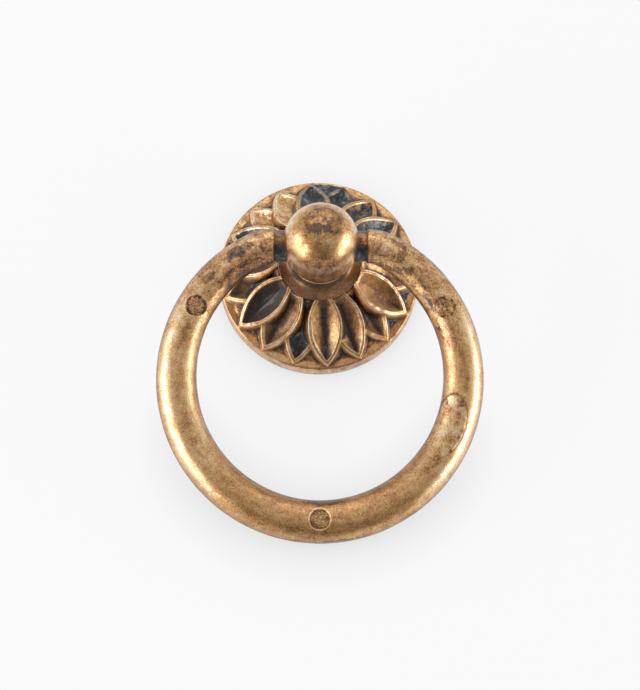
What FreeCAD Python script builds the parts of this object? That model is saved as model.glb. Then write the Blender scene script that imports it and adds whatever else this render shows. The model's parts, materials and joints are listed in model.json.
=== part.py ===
import FreeCAD, Part
import math
import os

# Ring pull handle: a petalled rosette, a ball post and a loose ring.
# Millimetres, +Z out of the drawer front. The origin is the middle of the mounting face.
# The ring hangs towards -Y, with its lowest point on the mounting plane.

# Rosette
ROSETTE_RADIUS = 18.7
ROSETTE_SIDE_HEIGHT = 2.7
ROSETTE_EDGE_CHAMFER = 0.5
GROUND_BELOW_SEAT = 0.7
BACK_RECESS_DEPTH = 1.0
BACK_RIM_LAND = 2.6
BACK_HUB_LAND = 3.4

# Petals: three layers of a few petals each, every layer one step back round and a little higher
PETALS_PER_LAYER = 6
PETAL_STEP = 20.0
LOW_PETAL_ANGLE = 15.0
PETAL_LAYERS = 3
PETAL_WIDTH = 6.2
PETAL_TIP_TO_WIDEST = 7.4
PETAL_TIP_INSET = 0.55
PETAL_RIM_WIDTH = 0.6
PETAL_HUB_WALL = 0.45
PETAL_TROUGH_DEPTH = 1.4
PETAL_WALL_DRAFT = 12.0
PETAL_ROOT_DEPTH = 2.4
LOW_PETAL_TIP_RISE = 0.25
LOW_PETAL_HUB_RISE = 0.1
LAYER_TIP_RISE = 0.2
LAYER_HUB_RISE = 0.5

# Ball post
FOOT_SEAT_HEIGHT = 10.2
FOOT_RADIUS = 7.85
FOOT_EDGE_THICKNESS = 1.05
FLARE_HEIGHT = 2.15
WAIST_RADIUS = 5.3
WAIST_STRAIGHT = 0.6
LIP_OVERHANG = 0.45
LIP_THICKNESS = 0.8
LIP_BEVEL = 0.25
NECK_STRAIGHT = 0.36
BALL_RADIUS = 6.85
BALL_STRAIGHT = 2.9
SPIGOT_RADIUS = 3.5
SPIGOT_HEAD_SPREAD = 1.1
SPIGOT_HEAD_EDGE = 0.4
SPIGOT_HEAD_HEIGHT = 1.4
SCREW_HOLE_RADIUS = 1.65
SCREW_HOLE_DEPTH = 11.0

# Ring
PIVOT_BELOW_BALL_CENTRE = 0.3
RING_RADIUS = 26.37
RING_RISE_ABOVE_PIVOT = 2.04
RING_BOTTOM_DIAMETER = 8.0
RING_SIDE_DIAMETER = 7.45
RING_END_DIAMETER = 6.3
RING_END_BEND_RADIUS = 7.0
RING_SHOULDER_GAP = 1.6
RING_SECTION_STEP = 12.0
JOURNAL_RADIUS = 2.85
JOURNAL_REACH_INTO_BALL = 4.85
PIN_MARK_RADIUS = 2.0
PIN_MARK_DEPTH = 0.7
PIN_MARK_COUNT = 3
PIN_MARK_BOTTOM_INSET = 0.65
PIN_MARK_SIDE_INSET = 0.1

# Fits
SEAT_CLEARANCE = 0.15
SPIGOT_CLEARANCE = 0.05
JOURNAL_CLEARANCE = 0.05

# A cutting tool reaches this far past the face that it opens.
CUT_MARGIN = 1.0

UP = FreeCAD.Vector(0, 0, 1)
ALONG_X = FreeCAD.Vector(1, 0, 0)
ORIGIN = FreeCAD.Vector(0, 0, 0)

HUB_RADIUS = FOOT_RADIUS + SEAT_CLEARANCE
GROUND_EDGE_HEIGHT = ROSETTE_SIDE_HEIGHT + ROSETTE_EDGE_CHAMFER
SPIGOT_HEAD_RADIUS = SPIGOT_RADIUS + SPIGOT_HEAD_SPREAD
FOOT_TOP = FOOT_SEAT_HEIGHT + FOOT_EDGE_THICKNESS
WAIST_HEIGHT = FOOT_TOP + FLARE_HEIGHT
LIP_HEIGHT = WAIST_HEIGHT + WAIST_STRAIGHT
LIP_TOP = LIP_HEIGHT + LIP_THICKNESS
BALL_UNDERSIDE = LIP_TOP + NECK_STRAIGHT
BALL_CENTRE_HEIGHT = BALL_UNDERSIDE + math.sqrt(BALL_RADIUS ** 2 - WAIST_RADIUS ** 2)
UPPER_CENTRE_HEIGHT = BALL_CENTRE_HEIGHT + BALL_STRAIGHT
POST_TOP = UPPER_CENTRE_HEIGHT + BALL_RADIUS
PIVOT_HEIGHT = BALL_CENTRE_HEIGHT - PIVOT_BELOW_BALL_CENTRE
RING_CENTRE_DROP = RING_RADIUS - RING_RISE_ABOVE_PIVOT
RING_SHOULDER = BALL_RADIUS + RING_SHOULDER_GAP
RING_LENGTH = RING_CENTRE_DROP + RING_RADIUS
RING_SLOPE = math.asin((PIVOT_HEIGHT - RING_BOTTOM_DIAMETER / 2) / RING_LENGTH)
PETAL_ARC_RADIUS = (PETAL_WIDTH ** 2 / 4 + PETAL_TIP_TO_WIDEST ** 2) / PETAL_WIDTH
PETAL_ARC_OFFSET = PETAL_ARC_RADIUS - PETAL_WIDTH / 2


def half_plane(radius, height):
    """Point of a turned profile."""
    return FreeCAD.Vector(radius, 0, height)


def line(start, end):
    return Part.LineSegment(start, end).toShape()


def turned(edges):
    """Solid of revolution about Z from the edges of a closed profile."""
    return Part.Face(Part.Wire(edges)).revolve(ORIGIN, UP, 360)


def turned_outline(points):
    """Solid of revolution about Z from the corners of a profile, given as (radius, height)."""
    corners = [half_plane(*point) for point in points]
    return turned([line(a, b) for a, b in zip(corners, corners[1:] + corners[:1])])


def upright_cylinder(radius, bottom, top):
    return Part.makeCylinder(radius, top - bottom, FreeCAD.Vector(0, 0, bottom))


def polar_copies(shape, first_angle, count):
    """Copies of a shape, evenly spaced about the Z axis."""
    copies = []
    for index in range(count):
        copy = shape.copy()
        copy.rotate(ORIGIN, UP, first_angle + index * 360 / count)
        copies.append(copy)
    return copies


# Rosette
def petal_placement(layer):
    """Lays X down the slope of a layer's petals and Z out of their faces, at the widest point."""
    tip_radius = ROSETTE_RADIUS - PETAL_TIP_INSET
    tip_height = GROUND_EDGE_HEIGHT + LOW_PETAL_TIP_RISE + layer * LAYER_TIP_RISE
    hub_height = FOOT_SEAT_HEIGHT + LOW_PETAL_HUB_RISE + layer * LAYER_HUB_RISE
    slope = math.atan2(hub_height - tip_height, tip_radius - HUB_RADIUS)
    widest = FreeCAD.Vector(
        tip_radius - PETAL_TIP_TO_WIDEST * math.cos(slope),
        0,
        tip_height + PETAL_TIP_TO_WIDEST * math.sin(slope),
    )
    return FreeCAD.Placement(widest, FreeCAD.Rotation(FreeCAD.Vector(0, 1, 0), math.degrees(slope)))


def leaf(arc_radius, depth, narrowing):
    """Leaf below Z = 0, pointed along X: what two cones on its side arcs share.

    The side arcs lose narrowing in radius for each unit of depth, so a steep one makes a keel.
    """
    low_radius = arc_radius - depth * narrowing
    left = Part.makeCone(low_radius, arc_radius, depth, FreeCAD.Vector(0, -PETAL_ARC_OFFSET, -depth))
    right = Part.makeCone(low_radius, arc_radius, depth, FreeCAD.Vector(0, PETAL_ARC_OFFSET, -depth))
    return left.common(right)


def petal_body(layer):
    """Drafted leaf that roots in the plate."""
    body = leaf(PETAL_ARC_RADIUS, PETAL_ROOT_DEPTH, -math.tan(math.radians(PETAL_WALL_DRAFT)))
    body.Placement = petal_placement(layer)
    return body


def petal_trough(layer):
    """Hollow of a petal, keeled along its middle, which leaves a rim all round."""
    narrowing = (PETAL_WIDTH / 2 - PETAL_RIM_WIDTH) / PETAL_TROUGH_DEPTH
    trough = leaf(PETAL_ARC_RADIUS - PETAL_RIM_WIDTH, PETAL_TROUGH_DEPTH + CUT_MARGIN, narrowing)
    trough.Placement = petal_placement(layer)
    return trough.cut(upright_cylinder(HUB_RADIUS + PETAL_HUB_WALL, 0, POST_TOP))


def make_rosette():
    """Domed backplate with its petals, the foot's seat, a back recess and the spigot's hole."""
    rosette = turned_outline([
        (0, 0),
        (ROSETTE_RADIUS, 0),
        (ROSETTE_RADIUS, ROSETTE_SIDE_HEIGHT),
        (ROSETTE_RADIUS - ROSETTE_EDGE_CHAMFER, GROUND_EDGE_HEIGHT),
        (HUB_RADIUS, FOOT_SEAT_HEIGHT - GROUND_BELOW_SEAT),
        (HUB_RADIUS, FOOT_SEAT_HEIGHT),
        (0, FOOT_SEAT_HEIGHT),
    ])
    for layer in range(PETAL_LAYERS):
        angle = LOW_PETAL_ANGLE - layer * PETAL_STEP
        rosette = rosette.fuse(polar_copies(petal_body(layer), angle, PETALS_PER_LAYER))
        rosette = rosette.cut(polar_copies(petal_trough(layer), angle, PETALS_PER_LAYER))
    rosette = rosette.cut(upright_cylinder(HUB_RADIUS, FOOT_SEAT_HEIGHT, POST_TOP))
    hub_land_radius = SPIGOT_HEAD_RADIUS + BACK_HUB_LAND
    recess = upright_cylinder(ROSETTE_RADIUS - BACK_RIM_LAND, -CUT_MARGIN, BACK_RECESS_DEPTH)
    recess = recess.cut(upright_cylinder(hub_land_radius, -CUT_MARGIN, BACK_RECESS_DEPTH))
    spigot_hole = spigot_solid(SPIGOT_CLEARANCE, -CUT_MARGIN, FOOT_SEAT_HEIGHT + CUT_MARGIN)
    return rosette.cut([recess, spigot_hole]).removeSplitter()


# Ball post
def spigot_solid(clearance, bottom, top):
    """Spigot with its spread head, grown sideways by a clearance."""
    return turned_outline([
        (0, bottom),
        (SPIGOT_HEAD_RADIUS + clearance, bottom),
        (SPIGOT_HEAD_RADIUS + clearance, SPIGOT_HEAD_EDGE),
        (SPIGOT_RADIUS + clearance, SPIGOT_HEAD_HEIGHT),
        (SPIGOT_RADIUS + clearance, top),
        (0, top),
    ])


def make_ball_post():
    """Ball on a lipped waist and a flared foot, with the cross hole and the screw hole."""
    diagonal = math.sqrt(0.5)
    flare_middle = half_plane(
        FOOT_RADIUS - diagonal * (FOOT_RADIUS - WAIST_RADIUS),
        WAIST_HEIGHT - diagonal * FLARE_HEIGHT,
    )
    lower_middle_height = (BALL_UNDERSIDE + BALL_CENTRE_HEIGHT) / 2
    lower_middle_radius = math.sqrt(BALL_RADIUS ** 2 - (BALL_CENTRE_HEIGHT - lower_middle_height) ** 2)
    axis_foot = half_plane(0, FOOT_SEAT_HEIGHT)
    foot_low = half_plane(FOOT_RADIUS, FOOT_SEAT_HEIGHT)
    foot_high = half_plane(FOOT_RADIUS, FOOT_TOP)
    waist = half_plane(WAIST_RADIUS, WAIST_HEIGHT)
    lip_low = half_plane(WAIST_RADIUS, LIP_HEIGHT)
    lip_wide_low = half_plane(WAIST_RADIUS + LIP_OVERHANG, LIP_HEIGHT + LIP_BEVEL)
    lip_wide_high = half_plane(WAIST_RADIUS + LIP_OVERHANG, LIP_TOP - LIP_BEVEL)
    lip_high = half_plane(WAIST_RADIUS, LIP_TOP)
    ball_low = half_plane(WAIST_RADIUS, BALL_UNDERSIDE)
    ball_low_middle = half_plane(lower_middle_radius, lower_middle_height)
    ball_wide_low = half_plane(BALL_RADIUS, BALL_CENTRE_HEIGHT)
    ball_wide_high = half_plane(BALL_RADIUS, UPPER_CENTRE_HEIGHT)
    ball_high_middle = half_plane(diagonal * BALL_RADIUS, UPPER_CENTRE_HEIGHT + diagonal * BALL_RADIUS)
    ball_top = half_plane(0, POST_TOP)
    post = turned([
        line(axis_foot, foot_low),
        line(foot_low, foot_high),
        Part.Arc(foot_high, flare_middle, waist).toShape(),
        line(waist, lip_low),
        line(lip_low, lip_wide_low),
        line(lip_wide_low, lip_wide_high),
        line(lip_wide_high, lip_high),
        line(lip_high, ball_low),
        Part.Arc(ball_low, ball_low_middle, ball_wide_low).toShape(),
        line(ball_wide_low, ball_wide_high),
        Part.Arc(ball_wide_high, ball_high_middle, ball_top).toShape(),
        line(ball_top, axis_foot),
    ])
    post = post.fuse(spigot_solid(0, 0, FOOT_TOP))
    cross_hole = Part.makeCylinder(
        JOURNAL_RADIUS + JOURNAL_CLEARANCE,
        2 * (BALL_RADIUS + CUT_MARGIN),
        FreeCAD.Vector(-BALL_RADIUS - CUT_MARGIN, 0, PIVOT_HEIGHT),
        ALONG_X,
    )
    screw_hole = upright_cylinder(SCREW_HOLE_RADIUS, -CUT_MARGIN, SCREW_HOLE_DEPTH)
    return post.cut([cross_hole, screw_hole]).removeSplitter()


# Ring
def ring_diameter(angle):
    """Bar diameter at an angle from the ring's bottom, in degrees either way."""
    thinning = (RING_BOTTOM_DIAMETER - RING_SIDE_DIAMETER) * (angle / 90) ** 2
    return max(RING_BOTTOM_DIAMETER - thinning, RING_END_DIAMETER)


def ring_section(across, down, heading, diameter):
    """Circle across the bar, in the ring's own plane: X across, Y down from the pivot, Z out of it."""
    tangent = FreeCAD.Vector(math.cos(heading), math.sin(heading), 0)
    turn = FreeCAD.Rotation(UP, UP.cross(tangent), tangent, "ZXY")
    circle = Part.makeCircle(diameter / 2)
    circle.Placement = FreeCAD.Placement(FreeCAD.Vector(across, down, 0), turn)
    return Part.Wire([circle])


def ring_bar():
    """Tapered bar: one large arc whose ends bend round to lie along the pivot."""
    reach = RING_RADIUS - RING_END_BEND_RADIUS
    bend_down = RING_END_BEND_RADIUS - RING_CENTRE_DROP
    bend_across = math.sqrt(reach ** 2 - bend_down ** 2)
    arc_end = math.degrees(math.atan2(bend_across, bend_down))
    steps = math.ceil(2 * arc_end / RING_SECTION_STEP)
    straight_end = min(bend_across, RING_SHOULDER) - CUT_MARGIN
    sections = []
    for index in range(steps + 1):
        angle = -arc_end + 2 * arc_end * index / steps
        turn = math.radians(angle)
        across = RING_RADIUS * math.sin(turn)
        down = RING_CENTRE_DROP + RING_RADIUS * math.cos(turn)
        sections.append(ring_section(across, down, -turn, ring_diameter(angle)))
    half_bend = math.radians(180 + arc_end) / 2
    for side in (-1, 1):
        across = bend_across + RING_END_BEND_RADIUS * math.sin(half_bend)
        down = RING_END_BEND_RADIUS * (1 + math.cos(half_bend))
        ends = [
            ring_section(side * across, down, -side * half_bend, ring_diameter(arc_end)),
            ring_section(side * bend_across, 0, -side * math.pi, RING_END_DIAMETER),
            ring_section(side * straight_end, 0, -side * math.pi, RING_END_DIAMETER),
        ]
        sections = sections + ends if side > 0 else ends[::-1] + sections
    return Part.makeLoft(sections, True, False)


def make_ring():
    """Ring bar with its journals and pin marks, swung down until it rests on the mounting plane."""
    size = 2 * RING_LENGTH
    between = Part.makeBox(2 * RING_SHOULDER, size, size, FreeCAD.Vector(-RING_SHOULDER, -size / 2, -size / 2))
    between = between.cut(Part.makeBox(size, size, size, FreeCAD.Vector(-size / 2, RING_CENTRE_DROP, -size / 2)))
    ring = ring_bar().cut(between)
    journal_end = BALL_RADIUS - JOURNAL_REACH_INTO_BALL
    for side in (-1, 1):
        start = FreeCAD.Vector(side * journal_end, 0, 0)
        length = RING_SHOULDER + CUT_MARGIN - journal_end
        ring = ring.fuse(Part.makeCylinder(JOURNAL_RADIUS, length, start, ALONG_X * side))
    for index in range(PIN_MARK_COUNT):
        angle = 360 * index / PIN_MARK_COUNT
        turn = math.radians(angle)
        bar_radius = ring_diameter(min(angle, 360 - angle)) / 2
        mark_radius = RING_RADIUS - (PIN_MARK_SIDE_INSET if index else PIN_MARK_BOTTOM_INSET)
        floor = FreeCAD.Vector(
            mark_radius * math.sin(turn),
            RING_CENTRE_DROP + mark_radius * math.cos(turn),
            bar_radius - PIN_MARK_DEPTH,
        )
        ring = ring.cut(Part.makeCylinder(PIN_MARK_RADIUS, PIN_MARK_DEPTH + CUT_MARGIN, floor))
    down = FreeCAD.Vector(0, -math.cos(RING_SLOPE), -math.sin(RING_SLOPE))
    out = FreeCAD.Vector(0, -math.sin(RING_SLOPE), math.cos(RING_SLOPE))
    swing = FreeCAD.Rotation(down.cross(out), down, out, "ZYX")
    ring.Placement = FreeCAD.Placement(FreeCAD.Vector(0, 0, PIVOT_HEIGHT), swing)
    return ring


parts = {
    "rosette": make_rosette(),
    "ball_post": make_ball_post(),
    "ring": make_ring(),
}
os.makedirs("parts", exist_ok=True)
for name, shape in parts.items():
    solids = shape.Solids
    print(name, shape.isValid(), len(solids), "solids", round(shape.Volume, 1), shape.BoundBox)
    shape.exportStep(f"parts/{name}.step")
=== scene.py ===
import json
import math

import bpy
import numpy as np
from mathutils import Matrix, Quaternion, Vector, noise


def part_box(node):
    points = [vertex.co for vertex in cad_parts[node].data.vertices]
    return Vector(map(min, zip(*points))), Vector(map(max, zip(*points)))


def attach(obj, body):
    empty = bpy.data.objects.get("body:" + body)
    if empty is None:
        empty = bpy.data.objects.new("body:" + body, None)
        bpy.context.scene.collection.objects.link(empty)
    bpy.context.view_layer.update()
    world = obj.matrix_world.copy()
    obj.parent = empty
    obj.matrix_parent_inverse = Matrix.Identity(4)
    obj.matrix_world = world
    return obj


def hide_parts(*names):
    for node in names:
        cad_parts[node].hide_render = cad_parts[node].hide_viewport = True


# Ring pull handle: the cast rosette, the turned ball post and the loose ring, in old mottled brass.
# Sizes are in millimetres, and each mesh is scaled to metres when it is made.
MM = 0.001

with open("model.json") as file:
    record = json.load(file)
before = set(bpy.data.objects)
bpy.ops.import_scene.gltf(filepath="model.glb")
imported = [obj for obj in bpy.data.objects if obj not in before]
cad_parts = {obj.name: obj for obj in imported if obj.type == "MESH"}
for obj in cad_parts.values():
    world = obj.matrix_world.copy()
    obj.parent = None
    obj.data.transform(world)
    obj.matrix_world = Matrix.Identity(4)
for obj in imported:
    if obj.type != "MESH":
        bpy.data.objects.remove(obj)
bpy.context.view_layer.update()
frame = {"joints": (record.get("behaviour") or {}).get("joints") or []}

# Rosette
ROSETTE_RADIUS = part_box("rosette")[1][0] / MM
SIDE_HEIGHT = 2.7
EDGE_ROUND = 0.5
EDGE_BREAK = 0.1
BACK_CHAMFER = 0.15
HUB_RADIUS = 7.88
SEAT_HEIGHT = 10.2
GROUND_HUB_HEIGHT = 9.5
RECESS_RADIUS = 16.1
RECESS_DEPTH = 1.0
HUB_LAND_RADIUS = 8.0
SPIGOT_CLEARANCE = 0.05
PLATE_RIM_WIDTH = 0.85
PLATE_RIM_BLEND = 0.25
PLATE_RIM_STEP = 0.4
PLATE_RIM_SLOPE_SHARE = 0.25
ROSETTE_COLUMNS = 720
ROSETTE_ROWS = 100
EDGE_ROWS = 6
EDGE_START_DEGREES = 75
SIDE_ROW_SHARES = (0.66, 0.33)

# Petals
PETALS_PER_LAYER = 6
PETAL_LAYERS = 3
PETAL_STEP = 20.0
LOW_PETAL_ANGLE = 15.0
PETAL_WIDTH = 6.2
PETAL_TIP_TO_WIDEST = 7.4
PETAL_TIP_INSET = 0.55
PETAL_TIP_RADIUS = ROSETTE_RADIUS - PETAL_TIP_INSET
LOW_TIP_HEIGHT = 3.45
LOW_HUB_HEIGHT = 10.3
LAYER_TIP_RISE = 0.2
LAYER_HUB_RISE = 0.5
PETAL_RIM = 0.56
# Each bead of a rim: its inset from the outline and its height
PETAL_BEADS = ((0.08, 0.13), (0.46, 0.15))
PETAL_BEAD_WIDTH = 0.12
PETAL_TROUGH_DEPTH = 1.4
TROUGH_ROUNDNESS = 0.7
TROUGH_FADE = (0.2, 1.1)
TROUGH_EDGE = (0.9, 1.5)
PETAL_WALL_SLOPE = 1.7
PETAL_FILLET = 0.16
PETAL_WAVE = 0.1
PETAL_WAVE_SIZE = 2.4
RIM_CHIPS = 0.6
RIM_CHIP_SIZE = 0.9

# Grain of the casting, rougher in a worn sector: its middle and width in degrees
LUMP_SIZE = 1.3
LUMP_HEIGHT = 0.05
STIPPLE_SIZE = 0.42
STIPPLE_HEIGHT = 0.02
GROUND_STIPPLE_HEIGHT = 0.06
WORN_SECTOR = (128, 24)
WORN_ROUGHNESS = 1.6
SEAT_FADE = 0.4

# Ball post
FOOT_RADIUS = 7.85
FOOT_TOP = 11.25
FOOT_EDGE_ROUND = 0.15
WAIST_RADIUS = 5.3
WAIST_HEIGHT = 13.4
WAIST_STEP = 0.2
LIP_HEIGHT = 14.0
LIP_TOP = 14.8
LIP_RADIUS = 5.75
LIP_HALF_HEIGHT = 0.38
BALL_RADIUS = 6.85
BALL_UNDERSIDE = 15.16
POST_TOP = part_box("ball_post")[1][2] / MM
BALL_UPPER_CENTRE = POST_TOP - BALL_RADIUS
BALL_LOWER_CENTRE = BALL_UNDERSIDE + math.sqrt(BALL_RADIUS ** 2 - WAIST_RADIUS ** 2)
BALL_STRAIGHT_SHARES = (0.25, 0.5, 0.75)
SPIGOT_RADIUS = 3.5
SPIGOT_HEAD_RADIUS = 4.6
SPIGOT_HEAD_EDGE = 0.4
SPIGOT_HEAD_HEIGHT = 1.4
SCREW_HOLE_RADIUS = 1.65
SCREW_HOLE_DEPTH = 11.0
SCREW_HOLE_CHAMFER = 0.15
CROSS_HOLE_RADIUS = 2.9
POST_COLUMNS = 192
# Arcs of its profile: first angle, last angle and number of points
FOOT_EDGE_ARC = (0, 80, 4)
FLARE_ARC = (262, 182, 18)
LIP_ARC = (-80, 80, 12)
BALL_LOWER_POINTS = 24
CROWN_ARC = (0, 89, 56)
DENT_SIZE = 3.2
DENT_DEPTH = 0.035
DRILL_OVERRUN = 4
DRILL_COLUMNS = 96
SHARP_ANGLE = 38

# Ring, in its own plane: across along X, down from the pivot, and out of the plane
PIVOT = np.array(frame["joints"][0]["pos_m"]) / MM
RING_RADIUS = 26.37
RING_CENTRE_DROP = 24.33
RING_SLOPE = math.radians(17.447)
RING_BOTTOM_DIAMETER = 8.0
RING_SIDE_DIAMETER = 7.45
RING_END_DIAMETER = 6.3
RING_BEND_RADIUS = 7.0
RING_SHOULDER = 8.45
# Rounding of a shoulder: distance past it, and how much thinner than the bar's end
SHOULDER_ROUND = ((0.1, 0.03), (0.02, 0.12), (0.0, 0.22))
JOURNAL_RADIUS = 2.85
JOURNAL_END = 2.0
JOURNAL_CHAMFER = 0.3
JOURNAL_ROOTS = (0.02, 0.5)
HOLE_MOUTH_INSET = 0.3
RING_STEP = 0.25
RING_FINE_STEP = 0.1
RING_FINE_REACH = 2.7
BEND_ROWS = 14
BAR_FACE = 90
BAR_STEP = 4.6
BAR_FINE_STEP = 1.75
BAR_FINE_REACH = 40
BAR_WEAR_SIZE = 4.5
BAR_WEAR_DEPTH = 0.05
BAR_WEAR_START = 0.25
PATCH_GROOVE = 0.04
MARK_RADIUS = 2.0
MARK_BOTTOM_INSET = 0.65
MARK_SIDE_INSET = 0.1
MARK_DEPTH = 0.7
MARK_EDGE = (0.02, 0.2)
MARK_GRAIN_SIZE = 0.3
MARK_RIM_HEIGHT = 0.05
MARK_RIM_BAND = (0.05, 0.1)
MARK_LEAST_OUT = 1
FAR_FROM_MARKS = 99
RING_DOWN = np.array([0, -math.cos(RING_SLOPE), -math.sin(RING_SLOPE)])
RING_OUT = np.array([0, -math.sin(RING_SLOPE), math.cos(RING_SLOPE)])
RING_ACROSS = np.array([1.0, 0, 0])

GRADING_SAMPLES = 40001


def ease(value, start, end):
    """0 before start, 1 after end, smooth in between."""
    share = np.clip((value - start) / (end - start), 0, 1)
    return share * share * (3 - 2 * share)


def peak(value, middle, width):
    """1 at middle, falling off on both sides over about a width."""
    return np.exp(-((value - middle) / width) ** 2)


def soft_max(a, b, fillet):
    """The larger of two heights, with a fillet where they cross."""
    overlap = np.clip(fillet - np.abs(a - b), 0, None) / fillet
    return np.maximum(a, b) + overlap * overlap * fillet / 4


def roughness_of(points, size):
    """Smooth noise, about -1 to 1, over a grid of points, with lumps of that size."""
    values = [noise.noise(Vector(point) / size) for point in points.reshape(-1, 3)]
    return np.array(values).reshape(points.shape[:-1])


def graded(start, end, step, fine_step, centres, reach):
    """Positions from start to end, a step apart, or a fine step within reach of a centre."""
    fine = np.linspace(start, end, GRADING_SAMPLES)
    near = np.min([np.abs(fine - centre) for centre in centres], axis=0)
    density = np.where(near < reach, 1 / fine_step, 1 / step)
    count = np.concatenate([[0], np.cumsum((density[1:] + density[:-1]) / 2 * np.diff(fine))])
    return np.interp(np.linspace(0, count[-1], math.ceil(count[-1]) + 1), count, fine)


def arc_points(centre, radius, start, end, count):
    """Points (radius, height) of a turned profile along an arc, by angles in degrees."""
    turns = np.radians(np.linspace(start, end, count))
    return [(centre[0] + radius[0] * math.cos(t), centre[1] + radius[1] * math.sin(t)) for t in turns]


# Meshes
def mesh_piece(name, points, faces):
    """New object from points in millimetres, shaded smooth."""
    mesh = bpy.data.meshes.new(name)
    mesh.from_pydata((points.reshape(-1, 3) * MM).tolist(), [], faces)
    mesh.validate()
    mesh.shade_smooth()
    piece = bpy.data.objects.new(name, mesh)
    bpy.context.scene.collection.objects.link(piece)
    return piece


def grid_faces(rows, columns, close_rows):
    """Quads of a grid whose columns close round, and its rows too if asked."""
    faces = []
    for row in range(rows if close_rows else rows - 1):
        here = row * columns
        there = (row + 1) % rows * columns
        for column in range(columns):
            after = (column + 1) % columns
            faces.append((here + column, here + after, there + after, there + column))
    return faces


def paint(piece, **masks):
    """Stores named values for each point of a piece, for its material."""
    for name, values in masks.items():
        layer = piece.data.attributes.new(name, "FLOAT", "POINT")
        layer.data.foreach_set("value", np.clip(values, 0, 1).astype(np.float32).ravel())


def points_of(piece):
    """A piece's points in millimetres."""
    points = np.zeros(len(piece.data.vertices) * 3, np.float32)
    piece.data.vertices.foreach_get("co", points)
    return points.reshape(-1, 3).astype(float) / MM


# Colour masks of the rosette: how dark each petal's hollow and its rim are, from gold (0) to
# black (1), and how slate-grey, by the petal's angle
PETAL_TARNISH = {
    15: 0.5, 35: 0.8, 55: 0.6, 75: 0.8, 95: 0.7, 115: 0.36, 135: 0.4, 155: 0.85, 175: 0.8,
    195: 0.75, 215: 0.97, 235: 0.6, 255: 0.95, 275: 0.42, 295: 0.55, 315: 0.58, 335: 0.57, 355: 0.58,
}
RIM_TARNISH = {35: 0.52, 55: 0.56, 75: 0.72, 95: 0.7, 115: 0.38, 135: 0.34, 155: 0.4}
PLAIN_RIM_TARNISH = 0.42
WALL_TARNISH = 0.13
WALL_BLEND = 0.2
PETAL_SLATE = {35: 0.8, 55: 0.68, 75: 0.95, 95: 0.85, 155: 0.75, 175: 0.7, 215: 0.22, 255: 0.85, 275: 0.1}
RIM_SLATE = {55: 0.2, 75: 0.48, 95: 0.45, 155: 0.25}
# Painted dark reflection down the middle of some petals' hollows: how dark it is by the petal's angle, its
# width, and how slate-grey it is
PAINTED_KEEL_REFLECTIONS = {95: 0.3, 215: 0.2, 235: 0.2, 275: 0.6, 295: 0.35, 315: 0.15, 335: 0.12}
KEEL_WIDTH = 0.85
KEEL_REFLECTION_SLATE = 0.4
BEAD_GROOVE_TARNISH = 0.22
BEAD_GROOVE_WIDTH = 0.14
GROUND_TARNISH = 0.56
PLATE_RIM_RUB = 0.14
# Slate stains across the plate: angle, radius, half width, strength, and strength on the plate's rim
PLATE_STAINS = (
    (84, 17.4, 3.4, 0.95, 0.8),
    (325, 17.2, 1.7, 1.0, 0.0),
    (347, 17.2, 1.8, 1.0, 0.2),
    (166, 17.6, 2.2, 0.9, 0.9),
)
PLATE_STAIN_EDGE = (1.3, 0.6)
RELIEF_REACH = 8
CREVICE_RELIEF = (0.1, 0.55)
CREVICE_DIRT = 0.8
WORN_CREVICE_RUB = 0.5
WEAR_RELIEF = (0.04, 0.4)
PETAL_GRIME = 0.4
GROUND_GRIME = 0.6
WORN_GRIME = 0.45
WORN_GRIME_SECTOR = (137, 30)
SIDE_TARNISH = 0.45
SIDE_MOTTLE = 0.1
SIDE_MOTTLE_SIZE = 2.6
SIDE_STAIN = 0.24
SIDE_GRIME = 0.6


def petal_heights(layer, petal_angle, radius, angle, wave, chips):
    """Height of one petal over the grid, and each point's inset from its outline and from its keel."""
    turn = np.radians(angle - petal_angle)
    along = radius * np.cos(turn)
    aside = np.abs(radius * np.sin(turn))
    tip_height = LOW_TIP_HEIGHT + layer * LAYER_TIP_RISE
    rise = LOW_HUB_HEIGHT + layer * LAYER_HUB_RISE - tip_height
    run = PETAL_TIP_RADIUS - HUB_RADIUS
    slope = math.atan2(rise, run)
    plane = tip_height + (PETAL_TIP_RADIUS - along) * rise / run
    past_widest = (along - PETAL_TIP_RADIUS) / math.cos(slope) + PETAL_TIP_TO_WIDEST
    arc_radius = (PETAL_WIDTH ** 2 / 4 + PETAL_TIP_TO_WIDEST ** 2) / PETAL_WIDTH
    arc_offset = arc_radius - PETAL_WIDTH / 2
    inset = arc_radius - np.hypot(past_widest, aside + arc_offset) + PETAL_WAVE * wave
    inset = np.where(np.cos(turn) > 0, inset, -PETAL_WIDTH)
    share = np.clip((inset - PETAL_RIM) / (PETAL_WIDTH / 2 - PETAL_RIM), 0, 1)
    dish = TROUGH_ROUNDNESS * np.sin(share * math.pi / 2) + (1 - TROUGH_ROUNDNESS) * share
    fade = ease(radius - HUB_RADIUS, *TROUGH_FADE)
    beads = sum(height * peak(inset, place, PETAL_BEAD_WIDTH) for place, height in PETAL_BEADS)
    crown = beads * (1 + RIM_CHIPS * chips)
    outside = np.clip(-inset, 0, None)
    wall = outside * (PETAL_WALL_SLOPE + outside)
    top = plane + crown - PETAL_TROUGH_DEPTH * dish * fade - wall
    return np.where(inset > -PETAL_WIDTH / 2, top, 0), inset, aside


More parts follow.
